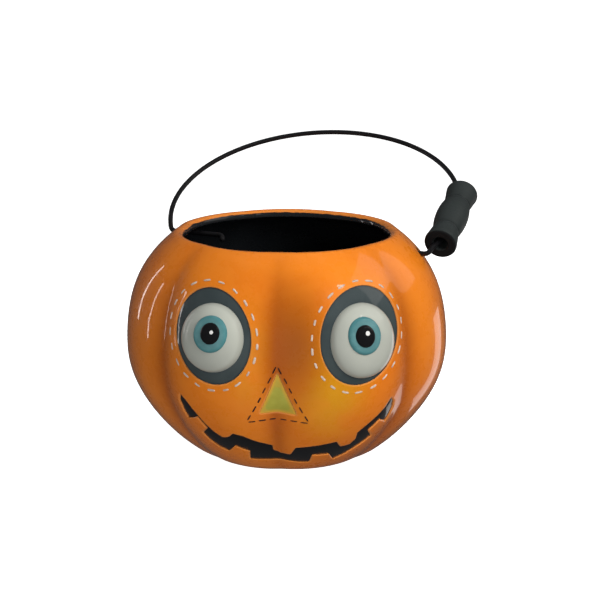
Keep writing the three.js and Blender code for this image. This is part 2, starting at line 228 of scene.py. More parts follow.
def grown(loop, distance):
    """The loop moved outwards by a small distance, with mitred corners."""
    ahead = np.roll(loop, -1, axis=0) - loop
    side = unit(np.stack([ahead[:, 1], -ahead[:, 0]], axis=1))
    mitre = unit(side + np.roll(side, 1, axis=0))
    lean = np.maximum(0.6, np.sum(mitre * side, axis=1, keepdims=True))
    return loop + mitre / lean * distance


def distance_to(points, loop):
    """Distance from each point to the loop, below zero inside it."""
    out = np.empty(len(points))
    a, b = loop, np.roll(loop, -1, axis=0)
    ab = b - a
    length2 = np.maximum(1e-12, np.sum(ab * ab, axis=1))
    rise = np.where(np.abs(ab[:, 1]) < 1e-12, 1e-12, ab[:, 1])
    batch = 1500
    for start in range(0, len(points), batch):
        p = points[start:start + batch, None, :]
        t = np.clip(np.sum((p - a) * ab, axis=2) / length2, 0, 1)
        near = np.sqrt(np.min(np.sum((p - a - t[..., None] * ab) ** 2, axis=2), axis=1))
        beside = (a[:, 1] > p[..., 1]) != (b[:, 1] > p[..., 1])
        hits = beside & (p[..., 0] < a[:, 0] + (p[..., 1] - a[:, 1]) * ab[:, 0] / rise)
        out[start:start + batch] = np.where(hits.sum(axis=1) % 2, -near, near)
    return out


INLAYS = [
    dict(name="left_eye_socket", loop=oval(*EYES[0]["socket"]), face=SOCKET_FACE, lip=0.7),
    dict(name="right_eye_socket", loop=oval(*EYES[1]["socket"]), face=SOCKET_FACE, lip=0.7),
    dict(name="nose_inlay", loop=dense(rounded(NOSE, 1.6), OUTLINE_STEP), face=NOSE_FACE,
         lip=1.0),
    dict(name="mouth_inlay", loop=dense(rounded(MOUTH, 0.55), OUTLINE_STEP), face=MOUTH_FACE,
         lip=0.8),
]

# ---- Meshes ----


def add_object(name, data):
    thing = bpy.data.objects.new(name, data)
    bpy.context.scene.collection.objects.link(thing)
    return thing


def new_piece(name, points, faces, body, slot, materials, nodes=(), values=None, sharp=0):
    """A smooth-shaded mesh piece from points in millimetres, with a value at each point for
    each name in values. Edges steeper than sharp, in degrees, stay sharp."""
    mesh = bpy.data.meshes.new(name)
    mesh.from_pydata((np.asarray(points) * MM).tolist(), [], faces)
    for key, array in (values or {}).items():
        layer = mesh.attributes.new(key, "FLOAT", "POINT")
        layer.data.foreach_set("value", np.asarray(array, dtype=np.float32))
    for material in materials:
        mesh.materials.append(material)
    mesh.update()
    mesh.shade_smooth()
    if sharp:
        mesh.set_sharp_from_angle(angle=math.radians(sharp))
    piece = add_object(name, mesh)
    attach(piece, body)
    if nodes:
        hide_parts(*nodes)
    return piece


def tube_skin(rings, sides, flip=False):
    """Faces over rings of points, closed at each end on a point that comes after the rings."""
    first, last = rings * sides, rings * sides + 1
    top = (rings - 1) * sides
    faces = []
    for k in range(sides):
        after = (k + 1) % sides
        faces.append((first, k, after))
        faces += [(r * sides + k, (r + 1) * sides + k, (r + 1) * sides + after, r * sides + after)
                  for r in range(rings - 1)]
        faces.append((last, top + after, top + k))
    return [face[::-1] for face in faces] if flip else faces


def triangulate(points, loops=(), keep=None):
    """Triangles over flat points, with closed loops of their indices kept as edges."""
    edges = []
    for loop in loops:
        edges += [(loop[i], loop[(i + 1) % len(loop)]) for i in range(len(loop))]
    out = delaunay_2d_cdt([Vector(p) for p in points], edges, [], 0, 1e-7)
    flat = np.array([tuple(v) for v in out[0]])
    faces = np.array([f for f in out[2] if len(f) == 3])
    if keep is not None:
        faces = faces[keep(flat[faces].mean(axis=1))]
    source = np.array([o[0] if o else -1 for o in out[3]])
    return flat, faces, source


def lip_depth(distance, face, width):
    """How far the wall's surface has turned in, at a distance outside an inlay's outline."""
    t = np.clip(1 - distance / width, 0, 1)
    return face * (1 - np.sqrt(1 - t * t))


COLUMNS = 360
FRONT = 58  # columns to each side of the face's middle that the front patch covers
ROWS_OUTER = [0, 0.3, 0.8, 1.5, 2.5, 4.0] + [float(z) for z in range(6, 124, 2)] + [LIP_START]
FRONT_FROM, FRONT_TO = 6.0, 114.0
RADIAN_WIDTH = 88.0  # of azimuth, in the patch's flat layout
FAR = 9.0  # stands for the distance to an inlay's edge wherever none is near
RING_SHARES = (-0.06, 0.0, 0.12, 0.3, 0.55, 0.8, 1.05, 1.7)  # of an inlay's rounded lip
CLEAR_OUTSIDE, CLEAR_INSIDE = 1.9, 1.2  # room for those rings beside the plain grid


def front_patch(grid_index):
    """The wall's front with its shallow pockets: points, triangles, each point's grid index or
    -1, and its distance outside the nearest inlay."""
    columns = np.arange(-FRONT, FRONT + 1)
    rows = [i for i, z in enumerate(ROWS_OUTER) if FRONT_FROM <= z <= FRONT_TO]
    azimuth, height = np.meshgrid(np.radians(columns), [ROWS_OUTER[i] for i in rows])
    border = np.zeros(azimuth.shape, bool)
    border[0, :] = border[-1, :] = border[:, 0] = border[:, -1] = True
    index = np.array([[grid_index(i, c) for c in columns] for i in rows])
    azimuth, height = azimuth.ravel(), height.ravel()
    flat = np.stack([wall_radius(azimuth, height) * np.sin(azimuth), height], axis=-1)
    away = [distance_to(flat, inlay["loop"]) for inlay in INLAYS]
    clear = np.all([(d > CLEAR_OUTSIDE) | (d < -CLEAR_INSIDE) for d in away], axis=0)
    clear |= border.ravel()
    inside = np.any([d < 0 for d in away], axis=0)[clear]
    azimuth, height = azimuth[clear], height[clear]
    depth = np.where(inside, POCKET_FLOOR, 0.0)
    tag = np.where(border, index, -1).ravel()[clear]
    near = np.where(inside, 0, FAR)
    loops = []
    for inlay in INLAYS:
        for share in RING_SHARES:
            out = share * inlay["lip"] if share > 0 else share
            ring = grown(inlay["loop"], out)
            if share > 0:
                ring = ring[distance_to(ring, inlay["loop"]) > 0.93 * out]
            if share == 0:
                loops.append(range(len(azimuth), len(azimuth) + len(ring)))
            lift = POCKET_FLOOR if share < 0 else lip_depth(out, inlay["face"], inlay["lip"])
            azimuth = np.append(azimuth, azimuth_at(ring[:, 0], ring[:, 1]))
            height = np.append(height, ring[:, 1])
            depth = np.append(depth, np.full(len(ring), lift))
            tag = np.append(tag, np.full(len(ring), -1))
            near = np.append(near, np.full(len(ring), max(out, 0)))
    flat, faces, source = triangulate(np.stack([azimuth * RADIAN_WIDTH, height], axis=1), loops)
    known = source >= 0
    depth = np.where(known, depth[source], 0)
    points = wall_point(flat[:, 0] / RADIAN_WIDTH, flat[:, 1], depth)
    return points, faces, np.where(known, tag[source], -1), near[source]


def shell_piece(material):
    """The whole pail body: foot, outer wall, lip, inside wall and floor, as one closed skin.
    Its inward value is the run from the rim's top in millimetres, below zero on the outside."""
    azimuth = np.radians(np.arange(COLUMNS) * 360 / COLUMNS)
    rings, inward = [], []

    def ring(points, run):
        rings.append(points)
        inward.append(np.full(COLUMNS, run, float))

    def level(radius, z, run):
        ring(around(radius, azimuth, np.full(COLUMNS, float(z))), run)

    def inner(z):
        return wall_radius(azimuth, float(z), GROOVE_DEPTH_INSIDE) - WALL

    foot = wall_radius(azimuth, 0.0)
    for share, z in FOOT_PROFILE:
        level(foot * share, z, -40)
    base = len(rings)
    for z in ROWS_OUTER:
        ring(wall_point(azimuth, z), z - RIM)
    lip_middle = wall_point(azimuth, LIP_START)
    middle = np.hypot(lip_middle[:, 0], lip_middle[:, 1]) - LIP_ROUND * math.cos(LIP_LEAN)
    for degrees in range(60, 181, 8):
        turn = math.radians(degrees)
        level(middle + LIP_ROUND * math.cos(turn), RIM - LIP_ROUND * (1 - math.sin(turn)),
              LIP_ROUND * (turn - math.pi / 2))
    last = rings[-1]
    top_z = RIM - BELOW_LIP
    for t in (0.2, 0.4, 0.6, 0.8):
        radius = np.hypot(last[:, 0], last[:, 1]) * (1 - t) + inner(top_z) * t
        bow = 0.5 * math.sin(math.pi * t)
        ring(around(radius + bow, azimuth, last[:, 2] * (1 - t) + top_z * t), 6.2 + 5.8 * t)
    for z in np.linspace(top_z, FLOOR + FLOOR_CORNER_RISE, 34):
        level(inner(z), z, 12 + top_z - z)
    corner = inner(FLOOR + FLOOR_CORNER_RISE)
    for t in (0.25, 0.5, 0.75, 1.0):
        bend = t * math.pi / 2
        level(corner - FLOOR_CORNER_REACH * (1 - math.cos(bend)),
              FLOOR + FLOOR_CORNER_RISE * (1 - math.sin(bend)), 130)
    for share in (0.8, 0.55, 0.3):
        level((corner - FLOOR_CORNER_REACH) * share, FLOOR, 140)

    count = COLUMNS
    points = np.concatenate(rings)
    run = np.concatenate(inward)
    near = np.full(len(points), FAR)

    def grid_index(row, column):
        return (base + row) * count + column % count

    faces = []
    low = base + ROWS_OUTER.index(FRONT_FROM)
    high = base + ROWS_OUTER.index(FRONT_TO)
    for row in range(len(rings) - 1):
        for column in range(count):
            if low <= row < high and (column < FRONT or column >= count - FRONT):
                continue
            after = (column + 1) % count
            faces.append((row * count + column, row * count + after,
                          (row + 1) * count + after, (row + 1) * count + column))
    centre_low, centre_high = len(points), len(points) + 1
    points = np.concatenate([points, [(0, 0, FOOT_HOLLOW), (0, 0, FLOOR)]])
    run = np.append(run, (-40, 150))
    near = np.append(near, (FAR, FAR))
    top = (len(rings) - 1) * count
    for column in range(count):
        after = (column + 1) % count
        faces.append((centre_low, after, column))
        faces.append((centre_high, top + column, top + after))

    patch, triangles, tag, patch_near = front_patch(grid_index)
    number = np.where(tag >= 0, tag, len(points) + np.arange(len(patch)))
    faces += [tuple(int(number[k]) for k in triangle) for triangle in triangles]
    points = np.concatenate([points, patch])
    run = np.append(run, patch[:, 2] - RIM)
    near = np.append(near, patch_near)
    used = np.zeros(len(points), bool)
    for face in faces:
        used[list(face)] = True
    renumber = np.cumsum(used) - 1
    faces = [tuple(int(renumber[k]) for k in face) for face in faces]
    points, run, near = points[used], run[used], near[used]
    share = groove_share(np.arctan2(points[:, 0], -points[:, 1])) * groove_fade(points[:, 2])
    return new_piece("glazed_shell", points, faces, "pail", "orange_glaze", [material],
                     ["pumpkin_shell"], dict(inward=run, edge=near, groove=share))


def drill(piece, hole, radius=3.0, reach=14.0):
    """Cuts a round hole along the pivot line."""
    turns = 48
    points = []
    side = unit(np.cross(PIVOT, [0, 0, 1.0]))
    other = np.cross(PIVOT, side)
    for end in (-reach, reach):
        for turn in full_turn(turns):
            out = radius * (side * math.cos(turn) + other * math.sin(turn))
            points.append(hole + PIVOT * end + out)
    faces = [(k, (k + 1) % turns, turns + (k + 1) % turns, turns + k) for k in range(turns)]
    faces += [tuple(reversed(range(turns))), tuple(range(turns, 2 * turns))]
    mesh = bpy.data.meshes.new("drill")
    mesh.from_pydata((np.array(points) * MM).tolist(), [], faces)
    tool = add_object("drill", mesh)
    modifier = piece.modifiers.new("hole", "BOOLEAN")
    modifier.operation = "DIFFERENCE"
    modifier.object = tool
    modifier.solver = "EXACT"
    graph = bpy.context.evaluated_depsgraph_get()
    cut = bpy.data.meshes.new_from_object(piece.evaluated_get(graph))
    piece.modifiers.clear()
    piece.data = cut
    bpy.data.objects.remove(tool)


def inlay_piece(inlay, material, slot):
    """A pool of glaze in its pocket, with a closed back."""
    loop = grown(inlay["loop"], -0.07)
    spacing = 2.0
    flat = list(loop)
    for out in (-0.35, -0.8, -1.4):
        ring = grown(inlay["loop"], out)[::2]
        flat += list(ring[distance_to(ring, inlay["loop"]) < 0.95 * out])
    low, high = loop.min(axis=0), loop.max(axis=0)
    x, z = np.meshgrid(np.arange(low[0], high[0], spacing), np.arange(low[1], high[1], spacing))
    fill = np.stack([x.ravel(), z.ravel()], axis=1)
    flat += list(fill[distance_to(fill, inlay["loop"]) < -spacing])
    flat = np.array(flat)
    az = azimuth_at(flat[:, 0], flat[:, 1])
    _, faces, source = triangulate(flat, [range(len(loop))],
                                   lambda middle: distance_to(middle, loop) < 0)
    az, flat = az[source], flat[source]
    inside = -distance_to(flat, inlay["loop"])
    top = wall_point(az, flat[:, 1], inlay["face"] + 0.05 * np.minimum(inside, 2))
    back = wall_point(az, flat[:, 1], INLAY_BACK)
    count = len(flat)
    triangles = [tuple(int(k) for k in f) for f in faces]
    skin = triangles + [(a + count, c + count, b + count) for a, b, c in triangles]
    order = {int(s): i for i, s in enumerate(source)}
    border = [order[i] for i in range(len(loop))]
    for i, here in enumerate(border):
        after = border[(i + 1) % len(border)]
        skin.append((here, here + count, after + count, after))
    return new_piece(f"{inlay['name']}_glaze", np.concatenate([top, back]), skin, "pail", slot,
                     [material], [inlay["name"]],
                     dict(inside=np.tile(inside, 2)), sharp=40)


def eye_matrix(eye):
    """The eye's own axes, as columns, and the middle of the eyeball's flat base."""
    azimuth = math.radians(eye["azimuth"])
    radius = float(crest_radius(eye["height"])) * (1 - EYE_INSET)
    slope = float(crest_radius(eye["height"] + 1) - crest_radius(eye["height"] - 1)) / 2
    out = Vector((math.sin(azimuth), -math.cos(azimuth), -slope)).normalized()
    along = Vector((math.cos(azimuth), math.sin(azimuth), 0))
    up = out.cross(along)
    place = Vector((radius * math.sin(azimuth), -radius * math.cos(azimuth), eye["height"]))
    place -= EYE_SINK * out
    return np.array([along, up, out]).T, np.array(place)


def ball_height(eye, u, v):
    a, b = eye["white"]
    return EYE_DEPTH * np.sqrt(np.maximum(0, 1 - (u / a) ** 2 - (v / b) ** 2))


def disc_piece(name, eye, middle, half, under, rise, edge, slot, material, nodes=()):
    """A raised disc with a rounded edge that follows the eyeball, closed below."""
    count, sink = 96, 0.4
    shares = [0.12, 0.25, 0.38, 0.5, 0.62, 0.72, 0.8]
    width = min(half)
    for t in (1.0, 0.85, 0.7, 0.55, 0.42, 0.3, 0.2, 0.12, 0.06, 0.02, 0.0):
        share = 1 - t * edge / width
        if share > shares[-1] + 0.01 or t == 0:
            shares.append(share)
    turns = full_turn(count)

    def ring(share, lift):
        u = middle[0] + half[0] * share * np.cos(turns)
        v = middle[1] + half[1] * share * np.sin(turns)
        return np.stack([u, v, ball_height(eye, u, v) + lift], axis=1)

    points = []
    for share in shares:
        inside = np.clip((1 - share) * width / edge, 0, 1)
        points.append(ring(share, under + rise * math.sqrt(1 - (1 - inside) ** 2)))
    points.append(ring(1, -sink))
    ball = float(ball_height(eye, *map(np.array, middle)))
    ends = [(*middle, ball + under + rise), (*middle, ball - sink)]
    radial = np.append(np.repeat(shares + [1], count), (0, 0))
    axes, place = eye_matrix(eye)
    world = np.concatenate(points + [ends]) @ axes.T + place
    return new_piece(name, world, tube_skin(len(points), count), "pail", slot, [material], nodes,
                     dict(radial=radial), sharp=55)


def eyeball_piece(eye, material):
    rows, count = 40, 128
    turns = full_turn(count)
    a, b = eye["white"]
    points = []
    for polar in np.arange(1, rows + 1) / rows * math.pi / 2:
        points.append(np.stack([a * math.sin(polar) * np.cos(turns),
                                b * math.sin(polar) * np.sin(turns),
                                np.full(count, EYE_DEPTH * math.cos(polar))], axis=1))
    local = np.concatenate(points + [[(0, 0, EYE_DEPTH), (0, 0, 0)]])
    axes, place = eye_matrix(eye)
    return new_piece(f"{eye['side']}_eyeball_glaze", local @ axes.T + place,
                     tube_skin(rows, count), "pail", "white_glaze", [material],
                     [f"{eye['side']}_eyeball"], dict(height=local[:, 2]), sharp=55)


# ---- Stitches: short raised strokes that follow the wall ----


def stroke(centre_line, width, height):
    """Points and faces of one stroke: an oval section that swells and tapers along its line."""
    x, z = centre_line.T
    az = azimuth_at(x, z)
    middle = wall_point(az, z)
    normal = wall_normal(az, z)
    side = np.cross(normal, unit(np.gradient(middle, axis=0)))
    t = np.linspace(-1, 1, len(middle))
    swell = np.sqrt(np.maximum(0, 1 - np.abs(t) ** 5))
    sides = 10
    lines = []
    for turn in full_turn(sides):
        lines.append(middle + side * (width / 2 * math.cos(turn) * swell)[:, None]
                     + normal * (height * math.sin(turn) * swell)[:, None])
    rings = np.stack(lines, axis=1)[1:-1]
    points = np.concatenate([rings.reshape(-1, 3), middle[:1], middle[-1:]])
    return points, tube_skin(len(rings), sides)


def stitches_piece(name, lines, width, height, slot, material):
    points, faces = [], []
    for line in lines:
        more, skin = stroke(line, width * RNG.uniform(0.85, 1.15), height)
        shift = sum(len(p) for p in points)
        points.append(more)
        faces += [tuple(k + shift for k in face) for face in skin]
    return new_piece(name, np.concatenate(points), faces, "pail", slot, [material])


def loop_dashes(loop, count, first, length):
    """Dashes spread evenly along a closed loop, starting near a turn in degrees."""
    closed = np.concatenate([loop, loop[:1]])
    gone = np.concatenate([[0], np.cumsum(np.linalg.norm(np.diff(closed, axis=0), axis=1))])
    start = gone[int(first / 360 * len(loop)) % len(loop)]
    steps = 13
    lines = []
    for k in range(count):
        middle = start + gone[-1] * k / count + RNG.uniform(-0.35, 0.35)
        half = length / 2 * RNG.uniform(0.85, 1.12)
        s = np.mod(middle + np.linspace(-half, half, steps), gone[-1])
        line = np.stack([np.interp(s, gone, closed[:, i]) for i in (0, 1)], axis=1)
        lean = RNG.uniform(-0.22, 0.22)
        line += np.linspace(-lean, lean, steps)[:, None] * [1, 0.6]
        lines.append(line)
    return lines


def straight_dashes(start, end, count, length):
    """Dashes spread evenly between two points."""
    start, end = np.array(start, float), np.array(end, float)
    along = unit(end - start)
    lines = []
    for k in range(count):
        middle = start + (end - start) * (k + 0.5) / count + RNG.uniform(-0.2, 0.2, 2)
        half = length / 2 * RNG.uniform(0.85, 1.1)
        lines.append(middle + along * np.linspace(-half, half, 11)[:, None])
    return lines


# ---- Bail and grip ----

LEFT_HOLE = np.array([-64, 35.2, 117])
RIGHT_HOLE = np.array([73.2, -10.3, 113.8])
PIVOT = unit(RIGHT_HOLE - LEFT_HOLE)
ARCH_MIDDLE = np.array([15.7, 42.2, 131.6])
ARCH_RADIUS = 84.3
ARCH_FROM, ARCH_TO = -107, 117  # degrees from the arch's top
YAW, LEAN = math.radians(13), math.radians(68)
ACROSS = np.array([math.cos(YAW), -math.sin(YAW), 0])
BACKWARDS = np.array([math.sin(YAW), math.cos(YAW), 0])
UP_ARCH = BACKWARDS * math.sin(LEAN) + np.array([0, 0, math.cos(LEAN)])
OFF_PLANE = np.cross(ACROSS, UP_ARCH)

WIRE_RADIUS = 1.43
WIRE_TIP_ROUND = 0.9
HOOK = 5.7 * (-0.966 * UP_ARCH + 0.26 * PIVOT)
LEFT_STUB, RIGHT_STUB = 28, 24  # from the hole's middle to the hook's bend
LEFT_OUTSIDE, RIGHT_OUTSIDE = 3.8, 5  # from the hole's middle to the bend outside the wall
HOLE_FROM_TIP = 27  # along the wire, where it rubs in its hole


def arch_point(degrees, radius=ARCH_RADIUS):
    turn = math.radians(degrees)
    return ARCH_MIDDLE + radius * (ACROSS * math.sin(turn) + UP_ARCH * math.cos(turn))


def runs(points, bend=3.0):
    """Straight runs with rounded corners, as closely spaced points."""
    out, start = [], points[0]
    for before, corner, after in zip(points, points[1:], points[2:]):
        reach = min(bend, 0.45 * np.linalg.norm(corner - before))
        enter = corner + (before - corner) * reach / np.linalg.norm(before - corner)
        leave = corner + (after - corner) * reach / np.linalg.norm(after - corner)
        n = max(2, round(float(np.linalg.norm(enter - start))))
        out += [start + (enter - start) * k / n for k in range(n)]
        out += [(1 - t) ** 2 * enter + 2 * t * (1 - t) * corner + t * t * leave
                for t in np.linspace(0, 1, 9)[:-1]]
        start = leave
    n = max(2, round(float(np.linalg.norm(points[-1] - start))))
    return out + [start + (points[-1] - start) * k / n for k in range(n + 1)]


def wire_line():
    """The wire's middle, from its left tip over the arch to its right tip."""
    left = LEFT_HOLE + LEFT_STUB * PIVOT
    right = RIGHT_HOLE - RIGHT_STUB * PIVOT
    start = runs([left + HOOK, left, LEFT_HOLE - LEFT_OUTSIDE * PIVOT, arch_point(ARCH_FROM)])
    arch = [arch_point(d) for d in np.linspace(ARCH_FROM, ARCH_TO, 340)]
    end = runs([arch_point(ARCH_TO), RIGHT_HOLE + RIGHT_OUTSIDE * PIVOT, right, right + HOOK])
    return np.array(start[:-1] + arch[:-1] + end)


def wire_piece(material):
    line = wire_line()
    along = unit(np.gradient(line, axis=0))
    side = np.cross(along[0], [0.3, 0.1, 1.0])
    gone = np.concatenate([[0], np.cumsum(np.linalg.norm(np.diff(line, axis=0), axis=1))])
    to_end = np.minimum(gone, gone[-1] - gone)
    sides = 20
    turns = full_turn(sides)[:, None]
    rings = []
    for middle, forward, left in zip(line, along, to_end):
        side = unit(side - forward * np.dot(side, forward))
        other = np.cross(forward, side)
        tip = 1 - min(1, left / WIRE_TIP_ROUND)
        radius = WIRE_RADIUS * math.sqrt(max(0.05, 1 - tip**2))
        rings.append(middle + radius * (np.cos(turns) * side + np.sin(turns) * other))
    points = np.concatenate([*rings, line[:1], line[-1:]])
    rub = np.repeat(np.exp(-np.abs(to_end - HOLE_FROM_TIP) / 5), sides)
    return new_piece("coated_wire", points, tube_skin(len(rings), sides, flip=True), "bail",
                     "wire_coating", [material], ["bail_wire"], dict(rub=np.append(rub, (0, 0))))


GRIP_HALF, GRIP_RADIUS = 27.15, 9.22
GRIP_NECK = 7.5  # radius at the necks
GRIP_BARREL = 13.5  # from the grip's middle to a neck
GRIP_NICK, GRIP_NICK_WIDTH = 0.5, 0.7  # the fine turned line at each neck
GRIP_EDGE = 1.5  # rounding of the outer edge
GRIP_DISH, GRIP_DISH_RADIUS = 0.25, 7.6
GRIP_BORE, GRIP_BORE_EDGE = 4.2, 0.8
GRIP_TURN, GRIP_ARC = 96, 82  # place on the arch: degrees from its top, and radius
GRIP_WEAR_RADIUS, GRIP_WEAR_END, GRIP_WEAR_WIDTH = 8.9, 26.8, 0.9


def grip_radius(y):
    """A barrel that falls in a curve to a neck, then a straight flare to the end."""
    y = abs(y)
    rise = GRIP_RADIUS - GRIP_NECK
    if y < GRIP_BARREL:
        return GRIP_RADIUS - rise * (y / GRIP_BARREL) ** 2
    share = (y - GRIP_BARREL) / (GRIP_HALF - GRIP_EDGE - GRIP_BARREL)
    return GRIP_NECK + rise * min(share, 1)


def grip_piece(material):
    """The turned grip: barrel, two necks and flared ends, with a rounded bore."""
    half = []
    for y in np.linspace(0, GRIP_HALF - GRIP_EDGE, 60):
        nick = GRIP_NICK * math.exp(-((y - GRIP_BARREL) / GRIP_NICK_WIDTH) ** 2)
        half.append((grip_radius(y) - nick, y))
    for t in np.linspace(0, math.pi / 2, 9)[1:]:
        half.append((GRIP_RADIUS - GRIP_EDGE * (1 - math.cos(t)),
                     GRIP_HALF - GRIP_EDGE * (1 - math.sin(t))))
    bore_start = GRIP_BORE + GRIP_BORE_EDGE
    for r in np.linspace(GRIP_DISH_RADIUS - 0.2, bore_start + 0.2, 5):
        share = (GRIP_DISH_RADIUS - r) / (GRIP_DISH_RADIUS - bore_start)
        half.append((r, GRIP_HALF - GRIP_DISH * math.sin(share * math.pi / 2)))
    for t in np.linspace(0.1, math.pi / 2, 6):
        half.append((GRIP_BORE + GRIP_BORE_EDGE * (1 - math.sin(t)),
                     GRIP_HALF - GRIP_DISH - GRIP_BORE_EDGE * (1 - math.cos(t))))
    half += [(GRIP_BORE, y) for y in (20, 10, 0)]
    profile = half + [(r, -y) for r, y in half[-2:0:-1]]
    count, turns = len(profile), 112
    middle = arch_point(GRIP_TURN, GRIP_ARC)
    lean = math.radians(GRIP_TURN)
    axis = ACROSS * math.cos(lean) - UP_ARCH * math.sin(lean)
    outward = np.cross(axis, OFF_PLANE)
    points, along, edge = [], [], []
    for turn in full_turn(turns):
        direction = outward * math.cos(turn) + OFF_PLANE * math.sin(turn)
        for r, y in profile:
            points.append(middle + direction * r + axis * y)
            along.append(y)
            away = math.hypot(r - GRIP_WEAR_RADIUS, abs(y) - GRIP_WEAR_END)
            edge.append(math.exp(-(away / GRIP_WEAR_WIDTH) ** 2))
    faces = [(k * count + i, k * count + (i + 1) % count,
              (k + 1) % turns * count + (i + 1) % count, (k + 1) % turns * count + i)
             for k in range(turns) for i in range(count)]
    return new_piece("turned_grip", points, faces, "handle_grip", "grip_finish", [material],
                     ["grip"], dict(along=along, edge=edge), sharp=50)


# ---- Materials ----


class Graph:
    """A material's node tree, with short calls for the nodes used here."""

    def __init__(self, name):
        self.material = bpy.data.materials.new(name)
        self.material.use_nodes = True
        self.nodes = self.material.node_tree.nodes
        self.links = self.material.node_tree.links
        self.bsdf = self.nodes["Principled BSDF"]
        self.place = self.add("TexCoord").outputs["Object"]

    def add(self, kind, **inputs):
        node = self.nodes.new("ShaderNode" + kind)
        for name, value in inputs.items():
            self.feed(node.inputs[name], value)
        return node

    def feed(self, socket, value):
        if isinstance(value, bpy.types.NodeSocket):
            self.links.new(value, socket)
        elif hasattr(socket.default_value, "__len__") and len(socket.default_value) == 4:
            socket.default_value = (*value, 1.0) if len(value) == 3 else value
        else:
            socket.default_value = value

    def shade(self, name, value):
        """Feeds an input of the shader."""
        self.feed(self.bsdf.inputs[name], value)

    def value(self, name):
        """A value that the mesh holds at each point."""
        node = self.add("Attribute")
        node.attribute_name = name
        return node.outputs["Fac"]

    def noise(self, scale, detail, rough, distortion=0.0):
        node = self.add("TexNoise", Vector=self.place, Scale=scale, Detail=detail,
                        Roughness=rough, Distortion=distortion)
        return node.outputs["Fac"]

    def specks(self, scale, size):
        """1 in small scattered dots, 0 between them."""
        node = self.add("TexVoronoi", Vector=self.place, Scale=scale)
        return self.ramp(node.outputs["Distance"], size, 0.0)

    def ramp(self, value, low, high):
        """0 at low, 1 at high, smooth between."""
        node = self.add("MapRange", Value=value)
        node.interpolation_type = "SMOOTHSTEP"
        node.inputs["From Min"].default_value = low
        node.inputs["From Max"].default_value = high
        return node.outputs["Result"]

    def height(self):
        return self.add("SeparateXYZ", Vector=self.place).outputs["Z"]

    def maths(self, operation, a, b=0.0):
        node = self.add("Math")
        node.operation = operation
        self.feed(node.inputs[0], a)
        self.feed(node.inputs[1], b)
        return node.outputs[0]

    def mix(self, share, a, b):
        node = self.add("Mix")
        node.data_type = "RGBA"
        self.feed(node.inputs["Factor"], share)
        self.feed(node.inputs["A"], a)
        self.feed(node.inputs["B"], b)
        return node.outputs["Result"]

    def tint(self, colour, share, strength, other):
        """The colour with another one over it, as far as share times strength."""
        return self.mix(self.maths("MULTIPLY", share, strength), colour, other)

    def spot(self, middle, reach, power=1.0):
        """1 at a place in millimetres, falling to 0 at the reach along each axis."""
        node = self.add("Mapping", Vector=self.place, Location=[m * MM for m in middle],
                        Scale=[r * MM for r in reach])
        node.vector_type = "TEXTURE"
        length = self.add("VectorMath")
        length.operation = "LENGTH"
        self.links.new(node.outputs["Vector"], length.inputs[0])
        return self.maths("POWER", self.ramp(length.outputs["Value"], 1.0, 0.0), power)

    def bump(self, height, distance, onto=None):
        node = self.add("Bump", Height=height, Distance=distance * MM, Strength=1.0)
        if onto is not None:
            self.links.new(onto, node.inputs["Normal"])
        return node.outputs["Normal"]

    def glaze(self, colour, roughness, coat_roughness, ripple):
        """Glossy glaze over a colour, with the faint ripple of a fired surface."""
        self.shade("Base Color", colour)
        self.shade("Roughness", roughness)
        self.shade("IOR", 1.5)
        self.shade("Specular IOR Level", 0.15)
        self.shade("Coat Weight", 1.0)
        self.shade("Coat Roughness", coat_roughness)
        self.shade("Coat IOR", 1.52)
        skin = self.bump(self.noise(90, 2.0, 0.4), ripple)
        skin = self.bump(self.noise(420, 2.0, 0.5), ripple * 0.08, onto=skin)
        self.shade("Normal", skin)
        self.shade("Coat Normal", skin)
        return self.material


ORANGE, ORANGE_DEEP, ORANGE_PALE = (0.82, 0.225, 0.014), (0.73, 0.18, 0.01), (0.88, 0.28, 0.025)
ORANGE_THIN, ORANGE_RIM = (0.78, 0.33, 0.10), (0.72, 0.27, 0.07)
OCHRE, BROWN = (0.62, 0.29, 0.004), (0.30, 0.072, 0.003)
GROOVE_DARK, SPECK = (0.34, 0.068, 0.004), (0.10, 0.03, 0.01)
INSIDE_BLACK, INSIDE_GREY = (0.006, 0.007, 0.009), (0.013, 0.015, 0.017)
BISQUE, BISQUE_DARK = (0.62, 0.52, 0.40), (0.50, 0.40, 0.29)
PAINT_FROM, PAINT_TO = 3.1, 3.7  # run from the rim's top where orange turns into black


def grey(value):
    return (value,) * 3


